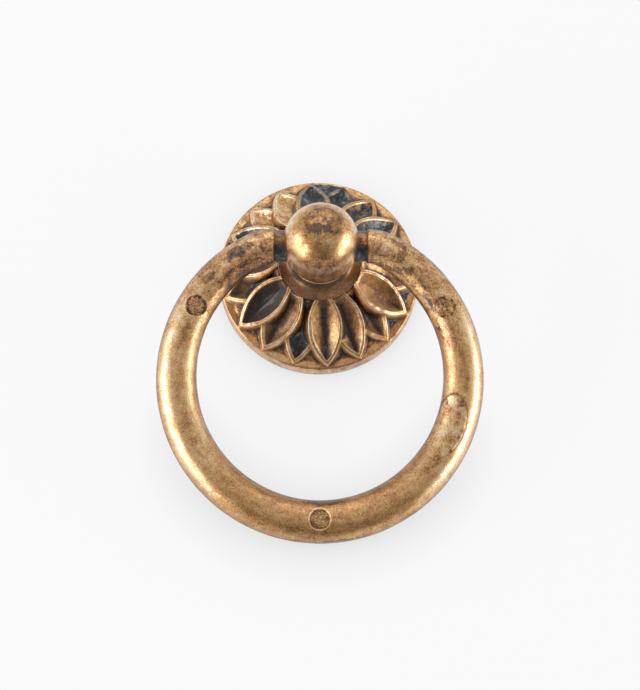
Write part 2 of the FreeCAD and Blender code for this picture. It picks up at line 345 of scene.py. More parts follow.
def rosette_face(radius, angle):
    """Heights of the rosette's face over a polar grid, with its colour masks, which hold a painted dark
    reflection along some petals' keels.
    """
    edge = ROSETTE_RADIUS - EDGE_ROUND
    edge_height = SIDE_HEIGHT + EDGE_ROUND
    ground_slope = (GROUND_HUB_HEIGHT - edge_height) / (edge - HUB_RADIUS)
    ground = edge_height + (edge - radius) * ground_slope - PLATE_RIM_STEP
    plate_rim = edge_height + (edge - radius) * ground_slope * PLATE_RIM_SLOPE_SHARE
    rim_start = edge - PLATE_RIM_WIDTH
    on_rim = ease(radius, rim_start - PLATE_RIM_BLEND, rim_start)
    height = ground + (plate_rim - ground) * on_rim + 0 * angle
    tarnish = GROUND_TARNISH - PLATE_RIM_RUB * on_rim + 0 * angle
    slate = np.zeros_like(height)
    keel = np.zeros_like(height)
    bare = np.ones_like(height) - on_rim
    plate = np.ones_like(height)
    turn = np.radians(angle)
    flat = np.stack([radius * np.cos(turn), radius * np.sin(turn), np.zeros_like(height)], -1)
    wave = roughness_of(flat, PETAL_WAVE_SIZE)
    chips = roughness_of(flat, RIM_CHIP_SIZE)
    groove_place = (PETAL_BEADS[0][0] + PETAL_BEADS[1][0]) / 2
    for layer in range(PETAL_LAYERS):
        for index in range(PETALS_PER_LAYER):
            petal_angle = LOW_PETAL_ANGLE - layer * PETAL_STEP + index * 360 / PETALS_PER_LAYER
            petal_angle = round(petal_angle) % 360
            top, inset, aside = petal_heights(layer, petal_angle, radius, angle, wave, chips)
            on_wall = (top > height) & (inset <= 0)
            merged = soft_max(height, top, PETAL_FILLET)
            height = np.where(inset > PETAL_RIM / 2, top, merged)
            inside = (inset > 0) | on_wall
            trough = ease(inset / PETAL_RIM, *TROUGH_EDGE)
            rim_tarnish = RIM_TARNISH.get(petal_angle, PLAIN_RIM_TARNISH)
            rim_tarnish = rim_tarnish + WALL_TARNISH * ease(inset, 0.0, -WALL_BLEND)
            tarnish = np.where(inside, rim_tarnish, tarnish)
            tarnish += trough * (PETAL_TARNISH[petal_angle] - tarnish)
            groove = BEAD_GROOVE_TARNISH * peak(inset, groove_place, BEAD_GROOVE_WIDTH)
            tarnish += groove * (inset > 0)
            rim_slate = RIM_SLATE.get(petal_angle, 0)
            petal_slate = rim_slate + trough * (PETAL_SLATE.get(petal_angle, 0) - rim_slate)
            slate = np.where(inside, petal_slate, slate)
            # Painted dark reflection along this petal's keel
            keel_reflection_depth = PAINTED_KEEL_REFLECTIONS.get(petal_angle, 0)
            keel = np.where(inside, keel_reflection_depth * trough * peak(aside, 0, KEEL_WIDTH), keel)
            bare = np.where(inside, 0, bare)
            plate = np.where(inside, 0, plate)
    for stain_angle, stain_radius, half_width, strength, rim_strength in PLATE_STAINS:
        turn = np.radians(angle - stain_angle)
        gap = np.hypot(radius * np.cos(turn) - stain_radius, radius * np.sin(turn)) / half_width
        stained = strength * bare + rim_strength * (plate - bare)
        slate = np.maximum(slate, ease(gap, *PLATE_STAIN_EDGE) * stained)
    # The keels' painted dark reflection darkens and greys the masks
    return height, tarnish + keel, slate + KEEL_REFLECTION_SLATE * keel, bare


def blurred(values, reach):
    """Moving average over a polar grid, that closes round the angle."""
    window = np.ones(2 * reach + 1) / (2 * reach + 1)
    wide = np.pad(values, ((reach, reach), (0, 0)), mode="edge")
    wide = np.apply_along_axis(np.convolve, 0, wide, window, "valid")
    wide = np.pad(wide, ((0, 0), (reach, reach)), mode="wrap")
    return np.apply_along_axis(np.convolve, 1, wide, window, "valid")


def rosette_underside():
    """Outline (radius, height) from the rosette's rounded edge round its back to the post's seat."""
    edge = ROSETTE_RADIUS - EDGE_ROUND
    head_radius = SPIGOT_HEAD_RADIUS + SPIGOT_CLEARANCE
    hole_radius = SPIGOT_RADIUS + SPIGOT_CLEARANCE
    outline = arc_points((edge, SIDE_HEIGHT), (EDGE_ROUND, EDGE_ROUND), EDGE_START_DEGREES, 0, EDGE_ROWS)
    outline += [(ROSETTE_RADIUS, share * SIDE_HEIGHT) for share in SIDE_ROW_SHARES]
    outline += [
        (ROSETTE_RADIUS, BACK_CHAMFER),
        (ROSETTE_RADIUS - BACK_CHAMFER, 0),
        (RECESS_RADIUS + EDGE_BREAK, 0),
        (RECESS_RADIUS, EDGE_BREAK),
        (RECESS_RADIUS, RECESS_DEPTH),
        (HUB_LAND_RADIUS, RECESS_DEPTH),
        (HUB_LAND_RADIUS, EDGE_BREAK),
        (HUB_LAND_RADIUS - EDGE_BREAK, 0),
        (head_radius, 0),
        (head_radius, SPIGOT_HEAD_EDGE),
        (hole_radius, SPIGOT_HEAD_HEIGHT),
        (hole_radius, SEAT_HEIGHT),
        (HUB_RADIUS, SEAT_HEIGHT),
    ]
    return np.array(outline)


def make_rosette():
    """Closed cast plate: its petalled face, rounded edge, recessed back, spigot hole and seat."""
    angle = np.linspace(0, 360, ROSETTE_COLUMNS, endpoint=False)[None, :]
    radius = np.linspace(HUB_RADIUS, ROSETTE_RADIUS - EDGE_ROUND, ROSETTE_ROWS)[:, None]
    height, tarnish, slate, bare = rosette_face(radius, angle)
    below = rosette_underside()
    every_column = np.ones_like(angle)
    radii = np.vstack([radius * every_column, below[:, :1] * every_column])
    heights = np.vstack([height, below[:, 1:] * every_column])
    turns = np.radians(angle)
    points = np.stack([radii * np.cos(turns), radii * np.sin(turns), heights], -1)
    face_points = points[:ROSETTE_ROWS]
    worn = peak(angle, *WORN_SECTOR)
    lumps = roughness_of(face_points, LUMP_SIZE) * LUMP_HEIGHT
    stipple = roughness_of(face_points, STIPPLE_SIZE) * (STIPPLE_HEIGHT + GROUND_STIPPLE_HEIGHT * bare)
    seat_fade = ease(radius, HUB_RADIUS, HUB_RADIUS + SEAT_FADE)
    points[:ROSETTE_ROWS, :, 2] += (lumps + stipple) * (1 + WORN_ROUGHNESS * worn) * seat_fade
    faces = [face[::-1] for face in grid_faces(len(radii), ROSETTE_COLUMNS, True)]
    piece = mesh_piece("rosette_cast", points, faces)
    relief = height - blurred(height, RELIEF_REACH)
    clear = np.zeros((len(below), ROSETTE_COLUMNS))
    side_tarnish = SIDE_TARNISH + SIDE_MOTTLE * roughness_of(points[ROSETTE_ROWS:], SIDE_MOTTLE_SIZE)
    crevice = (CREVICE_DIRT - WORN_CREVICE_RUB * worn) * ease(-relief, *CREVICE_RELIEF)
    worn_grime = WORN_GRIME * peak(angle, *WORN_GRIME_SECTOR)
    paint(
        piece,
        tarnish=np.vstack([tarnish, side_tarnish]),
        stain=np.vstack([0 * tarnish, clear + SIDE_STAIN]),
        grime=np.vstack([PETAL_GRIME + GROUND_GRIME * bare + worn_grime, clear + SIDE_GRIME]),
        slate=np.vstack([slate, clear]),
        crevice=np.vstack([crevice, clear]),
        wear=np.vstack([ease(relief, *WEAR_RELIEF), clear]),
    )
    return piece


# Ball post
def post_profile():
    """Outline of the post from the end of its screw hole, round its spigot and foot, up to the top."""
    under = math.degrees(math.asin((BALL_UNDERSIDE - BALL_LOWER_CENTRE) / BALL_RADIUS))
    foot_edge = (FOOT_RADIUS - FOOT_EDGE_ROUND, FOOT_TOP - FOOT_EDGE_ROUND)
    flare = (FOOT_RADIUS - WAIST_RADIUS, WAIST_HEIGHT - FOOT_TOP)
    lip_middle = (WAIST_RADIUS, (LIP_HEIGHT + LIP_TOP) / 2)
    lip = (LIP_RADIUS - WAIST_RADIUS, LIP_HALF_HEIGHT)
    ball = (BALL_RADIUS, BALL_RADIUS)
    straight = BALL_UPPER_CENTRE - BALL_LOWER_CENTRE
    profile = [
        (SCREW_HOLE_RADIUS, SCREW_HOLE_DEPTH),
        (SCREW_HOLE_RADIUS, SCREW_HOLE_DEPTH / 2),
        (SCREW_HOLE_RADIUS, SCREW_HOLE_CHAMFER),
        (SCREW_HOLE_RADIUS + SCREW_HOLE_CHAMFER, 0),
        (SPIGOT_HEAD_RADIUS - EDGE_BREAK, 0),
        (SPIGOT_HEAD_RADIUS, EDGE_BREAK),
        (SPIGOT_HEAD_RADIUS, SPIGOT_HEAD_EDGE),
        (SPIGOT_RADIUS, SPIGOT_HEAD_HEIGHT),
        (SPIGOT_RADIUS, SEAT_HEIGHT),
        (FOOT_RADIUS - EDGE_BREAK, SEAT_HEIGHT),
        (FOOT_RADIUS, SEAT_HEIGHT + EDGE_BREAK),
        (FOOT_RADIUS, (SEAT_HEIGHT + FOOT_TOP) / 2),
    ]
    profile += arc_points(foot_edge, (FOOT_EDGE_ROUND, FOOT_EDGE_ROUND), *FOOT_EDGE_ARC)
    profile += arc_points((FOOT_RADIUS, WAIST_HEIGHT), flare, *FLARE_ARC)
    profile += [(WAIST_RADIUS, WAIST_HEIGHT + WAIST_STEP), (WAIST_RADIUS, LIP_HEIGHT)]
    profile += arc_points(lip_middle, lip, *LIP_ARC)
    profile += [(WAIST_RADIUS, LIP_TOP), (WAIST_RADIUS, BALL_UNDERSIDE - EDGE_BREAK)]
    profile += arc_points((0, BALL_LOWER_CENTRE), ball, under, 0, BALL_LOWER_POINTS)
    profile += [(BALL_RADIUS, BALL_LOWER_CENTRE + share * straight) for share in BALL_STRAIGHT_SHARES]
    profile += arc_points((0, BALL_UPPER_CENTRE), ball, *CROWN_ARC)
    return np.array(profile)


def make_post():
    """Turned post with the cross hole for the ring's journals cut through its ball."""
    profile = post_profile()
    turns = np.linspace(0, 2 * math.pi, POST_COLUMNS, endpoint=False)[None, :]
    radii = profile[:, :1]
    points = np.stack([radii * np.cos(turns), radii * np.sin(turns), profile[:, 1:] + 0 * turns], -1)
    dents = roughness_of(points, DENT_SIZE) * DENT_DEPTH
    on_ball = ease(points[..., 2], LIP_TOP, BALL_LOWER_CENTRE)
    outward = points / np.maximum(np.linalg.norm(points[..., :2], axis=-1, keepdims=True), 1)
    outward[..., 2] = 0
    points -= outward * (np.abs(dents) * on_ball)[..., None]
    rows = len(profile)
    faces = grid_faces(rows, POST_COLUMNS, False)
    hole_end = rows * POST_COLUMNS
    top = hole_end + 1
    points = np.vstack([points.reshape(-1, 3), [[0, 0, SCREW_HOLE_DEPTH], [0, 0, POST_TOP]]])
    last_row = (rows - 1) * POST_COLUMNS
    for column in range(POST_COLUMNS):
        after = (column + 1) % POST_COLUMNS
        faces.append((hole_end, after, column))
        faces.append((top, last_row + column, last_row + after))
    piece = mesh_piece("ball_post_turned", points, faces)
    cut_cross_hole(piece)
    return piece


def cut_cross_hole(piece):
    """Cuts the hole that the ring's journals turn in."""
    length = 2 * BALL_RADIUS + DRILL_OVERRUN
    turns = np.linspace(0, 2 * math.pi, DRILL_COLUMNS, endpoint=False)
    circle = CROSS_HOLE_RADIUS * np.stack([0 * turns, np.cos(turns), np.sin(turns)], -1)
    ends = [circle + PIVOT + [side * length / 2, 0, 0] for side in (-1, 1)]
    faces = grid_faces(2, DRILL_COLUMNS, False)
    faces.append(tuple(range(DRILL_COLUMNS - 1, -1, -1)))
    faces.append(tuple(range(DRILL_COLUMNS, 2 * DRILL_COLUMNS)))
    drill = mesh_piece("drill", np.vstack(ends), faces)
    cut = piece.modifiers.new("cross_hole", "BOOLEAN")
    cut.operation = "DIFFERENCE"
    cut.solver = "EXACT"
    cut.object = drill
    shaped = piece.evaluated_get(bpy.context.evaluated_depsgraph_get())
    piece.data = bpy.data.meshes.new_from_object(shaped)
    piece.modifiers.clear()
    bpy.data.objects.remove(drill)
    piece.data.shade_smooth()
    piece.data.set_sharp_from_angle(angle=math.radians(SHARP_ANGLE))


# Colour masks of the post. A spot on the ball's top has a middle and half sizes along X and Y.
POST_TARNISH = 0.37
CROWN_MIDDLE = (-0.4, 0.3)
CROWN_HALF_SIZES = (3.2, 2.0)
CROWN_EDGE = (1.4, 0.5)
CROWN_STAIN = 0.5
ARC_MIDDLE = (0.3, 1.1)
ARC_BAND = (3.1, 0.13)
ARC_SIDE = (-1.2, 1.5)
ARC_DIRT = 0.4
PALE_MIDDLE = (0, -2.9)
PALE_HALF_SIZES = (4.4, 2.2)
PALE_EDGE = (1.2, 0.3)
PALE_RUB = 0.2
# The ball is darker towards its -Y side
UNDERSIDE_RANGE = (-3.6, -6.2)
UNDERSIDE_DARKENING = 0.26
TOP_RANGE = (3.5, 6.2)
TOP_TARNISH = 0.27
FOOT_TARNISH = 0.31
# Painted highlight: the ball's sides are paler where the side lamps' highlights fall
BALL_SIDE_RANGE = (2.5, 4.5)
BALL_SIDE_PAINTED_HIGHLIGHT = 0.07
# Painted shade: a dark line under the lip, and from the lip's top up to the ball's underside, where the lip
# and the ball shade the groove
BELOW_LIP_RANGE = (0.3, -0.2)
BELOW_LIP_SHADE = 0.4
ABOVE_LIP_REACH = 0.5
ABOVE_LIP_START = 0.15
# Painted shade in and round the mouths of the cross hole, where the journals go into the ball
HOLE_SHADE = 0.75
HOLE_SHADE_REACH = 0.8
HOLE_LEAST_ACROSS = 3
FOOT_GRIME = 0.2
BALL_GRIME = 0.7


def paint_post(piece):
    """Stained crown, brown underside and foot, a painted highlight on the ball's sides, and painted shade in
    the grooves and round the cross hole.
    """
    points = points_of(piece)
    across, along, height = points.T
    reach = np.hypot(across, along)
    on_crown = height > BALL_UPPER_CENTRE

    def spot(middle, half_sizes):
        """Distance from a spot's middle, 1 at its outline."""
        return np.hypot((across - middle[0]) / half_sizes[0], (along - middle[1]) / half_sizes[1])

    crown = CROWN_STAIN * ease(spot(CROWN_MIDDLE, CROWN_HALF_SIZES), *CROWN_EDGE) * on_crown
    arc = peak(spot(ARC_MIDDLE, (1, 1)), *ARC_BAND)
    arc *= ease(across + along, *ARC_SIDE) * on_crown
    pale = PALE_RUB * ease(spot(PALE_MIDDLE, PALE_HALF_SIZES), *PALE_EDGE) * on_crown
    underside = UNDERSIDE_DARKENING * ease(along, *UNDERSIDE_RANGE) * (height > LIP_TOP)
    top = TOP_TARNISH * ease(height - BALL_UPPER_CENTRE, *TOP_RANGE)
    foot = FOOT_TARNISH * (height < LIP_HEIGHT)
    # Painted highlight on the ball's sides
    sides = BALL_SIDE_PAINTED_HIGHLIGHT * ease(np.abs(across), *BALL_SIDE_RANGE) * (height > LIP_TOP)
    # Painted shade in the grooves under and over the lip
    below_lip = BELOW_LIP_SHADE * ease(reach - LIP_RADIUS, *BELOW_LIP_RANGE) * (height < LIP_HEIGHT)
    above_lip = ease(height, BALL_UNDERSIDE + ABOVE_LIP_REACH, BALL_UNDERSIDE)
    above_lip *= height > LIP_TOP - ABOVE_LIP_START
    # Painted shade round the cross hole's mouths
    from_hole = np.hypot(along, height - PIVOT[2]) - CROSS_HOLE_RADIUS
    hole = HOLE_SHADE * ease(from_hole, HOLE_SHADE_REACH, 0) * (np.abs(across) > HOLE_LEAST_ACROSS)
    plain = np.zeros_like(height)
    paint(
        piece,
        tarnish=POST_TARNISH + underside + foot + top - sides - pale,
        stain=crown,
        grime=np.where(height < LIP_TOP, FOOT_GRIME, BALL_GRIME),
        slate=plain,
        crevice=np.maximum(below_lip, above_lip) + hole + ARC_DIRT * arc,
        wear=plain,
    )


# Ring
def bar_radius(angle):
    """Half the bar's diameter at an angle from the ring's bottom, in degrees either way."""
    thinning = (RING_BOTTOM_DIAMETER - RING_SIDE_DIAMETER) * (angle / 90) ** 2
    return np.maximum(RING_BOTTOM_DIAMETER - thinning, RING_END_DIAMETER) / 2


# Marks on the ring's face: angle, inset, how much of the recess is filled, how ragged its floor is
PIN_MARKS = (
    (0, MARK_BOTTOM_INSET, 0.0, 0.08),
    (-120, MARK_SIDE_INSET, 0.45, 0.1),
    (120, MARK_SIDE_INSET, 0.9, 0.06),
)


def ring_path():
    """Rows of (across, down, facing, bar radius) from one journal's end to the other's."""
    reach = RING_RADIUS - RING_BEND_RADIUS
    bend_down = RING_BEND_RADIUS - RING_CENTRE_DROP
    bend_across = math.sqrt(reach ** 2 - bend_down ** 2)
    arc_end = math.degrees(math.atan2(bend_across, bend_down))
    degree = math.radians(1) * RING_RADIUS
    marked = [angle for angle, *_ in PIN_MARKS]
    step, fine_step, fine_reach = (size / degree for size in (RING_STEP, RING_FINE_STEP, RING_FINE_REACH))
    angles = graded(-arc_end, arc_end, step, fine_step, marked, fine_reach)
    turns = np.radians(angles)
    arc = np.stack([
        RING_RADIUS * np.sin(turns),
        RING_CENTRE_DROP + RING_RADIUS * np.cos(turns),
        angles,
        bar_radius(angles),
    ], -1)
    end_radius = RING_END_DIAMETER / 2
    bend_angles = np.linspace(arc_end, 180, BEND_ROWS)[1:]
    bend_turns = np.radians(bend_angles)
    bend_radius = bar_radius(arc_end)
    bend = np.stack([
        bend_across + RING_BEND_RADIUS * np.sin(bend_turns),
        RING_BEND_RADIUS * (1 + np.cos(bend_turns)),
        bend_angles,
        bend_radius + (end_radius - bend_radius) * ease(bend_angles, arc_end, 180),
    ], -1)
    end = [(RING_SHOULDER + past, 0, 180, end_radius - thinner) for past, thinner in SHOULDER_ROUND]
    end += [(RING_SHOULDER - root, 0, 180, JOURNAL_RADIUS) for root in JOURNAL_ROOTS]
    end += [
        (BALL_RADIUS - HOLE_MOUTH_INSET, 0, 180, JOURNAL_RADIUS),
        (JOURNAL_END + JOURNAL_CHAMFER, 0, 180, JOURNAL_RADIUS),
        (JOURNAL_END, 0, 180, JOURNAL_RADIUS - JOURNAL_CHAMFER),
    ]
    half = np.vstack([bend, end])
    mirrored = half[::-1] * [-1, 1, -1, 1]
    return np.vstack([mirrored, arc, half])


def ring_frame(local):
    """Points of the ring's own plane (across, down, out) in the object's frame."""
    axes = np.stack([RING_ACROSS, RING_DOWN, RING_OUT])
    return local @ axes + PIVOT


def mark_offsets(local):
    """Distance of each point of the ring from each mark's middle."""
    gaps = []
    for angle, inset, _, _ in PIN_MARKS:
        turn = math.radians(angle)
        middle_across = (RING_RADIUS - inset) * math.sin(turn)
        middle_down = RING_CENTRE_DROP + (RING_RADIUS - inset) * math.cos(turn)
        gap = np.hypot(local[..., 0] - middle_across, local[..., 1] - middle_down)
        gaps.append(np.where(local[..., 2] > MARK_LEAST_OUT, gap, FAR_FROM_MARKS))
    return gaps


def sink_marks(local):
    """Presses the round marks into the ring's face, each with a thin raised rim."""
    grain = roughness_of(local, MARK_GRAIN_SIZE)
    for (angle, _, filled, ragged), gap in zip(PIN_MARKS, mark_offsets(local)):
        floor = float(bar_radius(abs(angle))) - MARK_DEPTH
        floor = floor + filled * (local[..., 2] - floor)
        inside = ease(MARK_RADIUS - gap, *MARK_EDGE)
        local[..., 2] += inside * (np.minimum(floor + grain * ragged, local[..., 2]) - local[..., 2])
        rim = peak(gap - MARK_RADIUS, *MARK_RIM_BAND)
        local[..., 2] += MARK_RIM_HEIGHT * (1 - filled) * rim


def make_ring():
    """Tapered bar bent to a ring, with its journals and the round marks in its face."""
    path = ring_path()
    first_side = BAR_FACE - 180
    around = graded(first_side, first_side + 360, BAR_STEP, BAR_FINE_STEP, (BAR_FACE,), BAR_FINE_REACH)
    around = np.radians(around[:-1])
    across, down, facing, radius = (path[:, index:index + 1] for index in range(4))
    turn = np.radians(facing)
    local = np.stack([
        across + radius * np.cos(around) * np.sin(turn),
        down + radius * np.cos(around) * np.cos(turn),
        radius * np.sin(around) + 0 * across,
    ], -1)
    smooth = np.stack([facing + 0 * around, np.degrees(around) + 0 * facing], -1)
    centre = np.stack([across, down, 0 * down], -1)
    on_bar = radius > JOURNAL_RADIUS + BAR_WEAR_START
    worn = roughness_of(local, BAR_WEAR_SIZE) * BAR_WEAR_DEPTH * on_bar
    outward = (local - centre) / radius[..., None]
    local -= outward * np.abs(worn)[..., None]
    _, line, _ = patch_line(smooth, radius)
    local -= outward * (PATCH_GROOVE * line)[..., None]
    sink_marks(local)
    rows, columns = local.shape[:2]
    faces = [face[::-1] for face in grid_faces(rows, columns, False)]
    first_end = rows * columns
    last_row = (rows - 1) * columns
    ends = np.array([[-JOURNAL_END, 0, 0], [JOURNAL_END, 0, 0]])
    for column in range(columns):
        after = (column + 1) % columns
        faces.append((first_end, column, after))
        faces.append((first_end + 1, last_row + after, last_row + column))
    points = ring_frame(np.vstack([local.reshape(-1, 3), ends]))
    piece = mesh_piece("ring_bar", points, faces)
    paint_ring(piece, local, smooth, radius)
    return piece


# Colour masks of the ring. Stains have a sharp edge or a soft one, and a few soft ones are painted shade:
# angle, place round the bar (90 is its face), half length, half width, strength, slate
SHARP_STAINS = (
    (146.5, 86, 1.1, 2.3, 0.6, 0.15),
    (150, 140, 2.6, 0.8, 0.6, 0.1),
    (145, 92, 3.6, 3.0, 0.4, 0.0),
    (145, 128, 2.4, 0.8, 0.58, 0.1),
    (150, 50, 2.4, 0.8, 0.56, 0.2),
    (141, 107, 2.2, 0.9, 0.64, 0.25),
    (-147, 66, 3.6, 1.4, 0.8, 0.5),
    (-131.5, 70, 1.6, 1.0, 0.75, 0.35),
    (-160, 100, 2.4, 1.6, 0.45, 0.0),
    (-137, 104, 2.4, 0.5, 0.5, 0.0),
    (-146, 116, 2.4, 0.5, 0.5, 0.0),
    (1, 156, 4.4, 1.5, 0.75, 0.45),
    (-9, 26, 3.2, 0.5, 0.66, 0.35),
    (7, 27, 3.6, 0.5, 0.66, 0.35),
)
SHARP_STAIN_EDGE = (1.5, 0.3)
SOFT_STAINS_AND_SHADES = (
    (-107, 95, 3.0, 1.2, 0.16, 0.0),
    (-72, 101, 2.6, 1.0, 0.16, 0.0),
    (-64, 98, 1.6, 0.8, 0.12, 0.0),
    (98, 92, 6.5, 1.6, 0.07, 0.0),
    (88, 84, 3.5, 1.0, 0.05, 0.0),
    (111, 142, 1.8, 0.8, 0.16, 0.45),
    (117, 131, 8.0, 1.0, 0.0, 0.3),
    # Painted shade: dims the reflection of the left lamp along the inner side of the ring's right end
    (136, 121, 5.5, 1.5, 0.2, 0.0),
    (-143, 85, 6.5, 1.0, -0.1, 0.0),
    (126, 126, 2.6, 0.6, 0.12, 0.3),
    (-141, 142, 6.0, 2.2, 0.1, 0.0),
    (54, 100, 3.4, 1.5, 0.16, 0.0),
    (60, 70, 2.6, 1.0, 0.1, 0.0),
    # These three rows paint shade: a darker band along the lower flank of the ring's bottom, where it
    # reflects the darker front of the room
    (0, 62, 10.0, 1.6, 0.12, 0.0),
    (30, 66, 7.0, 1.4, 0.1, 0.0),
    (-34, 66, 7.0, 1.4, 0.1, 0.0),
    (136, 124, 3.0, 1.4, -0.17, 0.0),
    (156, 84, 2.0, 2.0, -0.1, 0.0),
    (-158, 110, 2.6, 2.0, -0.08, 0.0),
)
SOFT_STAIN_AND_SHADE_EDGE = (1.3, 0.2)
# Old patch on the ring's lower right: middle angle, place round the bar, half length, half width
PATCH = (69, 117, 6.8, 3.5)
PATCH_LINE = 0.12
PATCH_INSIDE = (1.02, 0.96)
PATCH_BLOTS = 0.15
PATCH_RUB = 0.045
PATCH_STAIN = 0.5
PATCH_STAIN_BAND = (0.9, 0.2)
PATCH_STAIN_BLOTS = (0.05, 0.35)
PATCH_LINE_DIRT = 0.45
PATCH_INNER_DIRT = 0.35
PATCH_INNER_ANGLES = (-14, 6)
PATCH_INNER_PLACES = (-12, 18)
PATCH_LINE_WEAR = 0.35
PATCH_WEAR_ANGLES = (0, -10)
PATCH_GRIME = 0.35
BLOT_SIZE = 1.1
# Brown flank of the ring's left end, below a crease, in the same terms
BROWN_FLANK = (-142, 133, 5.2, 1.7)
BROWN_FLANK_BLOTS = 0.15
BROWN_FLANK_EDGE = (1.08, 0.92)
BROWN_FLANK_TARNISH = 0.12
CREASE_DIRT = 0.4
CREASE_WIDTH = 0.07
CREASE_PLACES = (0, -15)
# Bare bar, by degrees from the ring's bottom and round the bar. A band has a middle and a width.
BAR_TARNISH = 0.4
BAR_SIDES_START = (20, 55)
BAR_SIDES_END = (128, 105)
BAR_ENDS_START = (110, 135)
BAR_ENDS_TARNISH = 0.05
BAR_BOTTOM_END = (65, 30)
BAR_BOTTOM_TARNISH = 0.06
# Rubbed paler flanks, which are also a painted highlight where the side lamps' highlights fall; the inner
# one is weaker on the right
OUTER_RUB_AND_HIGHLIGHT = 0.2
OUTER_RUB_AND_HIGHLIGHT_BAND = (52, 22)
INNER_RUB_AND_HIGHLIGHT = 0.08
INNER_RUB_AND_HIGHLIGHT_RIGHT = 0.5
INNER_RUB_AND_HIGHLIGHT_BAND = (132, 20)
# Painted shade: darker bands along the bar's outer and inner rims, and over its back, where its outline
# looks dark
BAR_SHADED_EDGES = (174, 6)
BAR_SHADED_EDGE_WIDTH = 16
BAR_EDGE_PAINTED_SHADE = 0.36
INNER_UNDERNEATH = (165, 190)
OUTER_UNDERNEATH = (15, -10)
UNDERNEATH_PAINTED_SHADE = 0.14
STREAK_LENGTH = 3.5
STREAK_WIDTH_DEGREES = 11
STREAK_TARNISH = 0.11
BAR_GRIME = 0.32
BAR_ENDS_GRIME = 0.45
BAR_ENDS_GRIME_START = (95, 130)
# Marks: distances are inward from a mark's outline, and a band has a middle and a width
MARK_SPECK_SIZE = 0.28
MARK_SWIRL_SIZE = 0.7
MARK_SWIRL_RANGE = (-0.3, 0.2)
BOTTOM_MARK_TARNISH = 0.12
LEFT_MARK_TARNISH = 0.24
RIGHT_MARK_TARNISH = 0.08
MARK_TARNISH_EDGE = (0, 0.25)
MARK_SPECK_RANGE = (0.12, 0.35)
MARK_SPECK_EDGE = (0.2, 0.4)
MARK_SPECK_WEAR = 1.4
BOTTOM_RIM_WEAR = 0.9
BOTTOM_RIM_BAND = (0, 0.13)
BOTTOM_EDGE_DIRT = 0.3
BOTTOM_EDGE_BAND = (0.3, 0.16)
LEFT_EDGE_BAND = (0.28, 0.34)
LEFT_EDGE_DIRT = 0.75
LEFT_EDGE_SLATE = 0.35
LEFT_RIM_BAND = (-0.12, 0.14)
LEFT_RIM_WEAR = 0.5
RIGHT_EDGE_BAND = (0.2, 0.16)
RIGHT_LINE_BAND = (0.05, 0.09)
RIGHT_LINE_DIRT = 0.72
RIGHT_LINE_EDGE = (-0.05, 0.15)
# Journals: painted shade in the gap between the ring's shoulder and the ball, darker and slate-grey on their
# lower side
JOURNAL_FACING = 179
JOURNAL_FADE = (0.5, -0.1)
JOURNAL_LOWER_SIDE = (-0.6, 0.6)
JOURNAL_SHADE = 0.5
JOURNAL_LOWER_SHADE = 0.6
JOURNAL_LOWER_SHADE_SLATE = 0.8
JOURNAL_END_MASK = 0.5


def spot_on_ring(smooth, radius, angle, place, half_length, half_width):
    """Distance from the middle of a spot on the ring, 1 at its outline."""
    along = np.radians(smooth[..., 0] - angle) * RING_RADIUS / half_length
    round_bar = np.radians(smooth[..., 1] - place) * radius / half_width
    return np.hypot(along, round_bar)


def patch_line(smooth, radius):
    """Distance from the middle of the old patch, and masks of its outline and of its inside."""
    span = spot_on_ring(smooth, radius, *PATCH)
    return span, peak((span - 1) * PATCH[3], 0, PATCH_LINE), ease(span, *PATCH_INSIDE)


def paint_flanks(facing, around):
    """Tarnish of the bare bar: brown along its face, rubbed pale with a painted highlight on its flanks, and
    painted shade along its rims and over its back.
    """
    turned = np.abs(facing)
    at_sides = ease(turned, *BAR_SIDES_START) * ease(turned, *BAR_SIDES_END)
    tarnish = BAR_TARNISH + BAR_ENDS_TARNISH * ease(turned, *BAR_ENDS_START)
    tarnish += BAR_BOTTOM_TARNISH * ease(turned, *BAR_BOTTOM_END)
    # Rubbed brass and painted highlight on the flanks
    tarnish -= OUTER_RUB_AND_HIGHLIGHT * peak(around, *OUTER_RUB_AND_HIGHLIGHT_BAND) * at_sides
    inner_rub_and_highlight = INNER_RUB_AND_HIGHLIGHT * np.where(facing > 0, INNER_RUB_AND_HIGHLIGHT_RIGHT, 1)
    tarnish -= inner_rub_and_highlight * peak(around, *INNER_RUB_AND_HIGHLIGHT_BAND) * at_sides
    # Painted shade along the bar's rims and over its back
    shaded_edges = sum(peak(around, place, BAR_SHADED_EDGE_WIDTH) for place in BAR_SHADED_EDGES)
    shaded_underneath = np.maximum(ease(around, *INNER_UNDERNEATH), ease(around, *OUTER_UNDERNEATH))
    along = np.radians(facing) * RING_RADIUS / STREAK_LENGTH
    streaks = roughness_of(np.stack([along, around / STREAK_WIDTH_DEGREES, 0 * facing], -1), 1.0)
    return tarnish + BAR_EDGE_PAINTED_SHADE * shaded_edges + UNDERNEATH_PAINTED_SHADE * shaded_underneath + STREAK_TARNISH * streaks


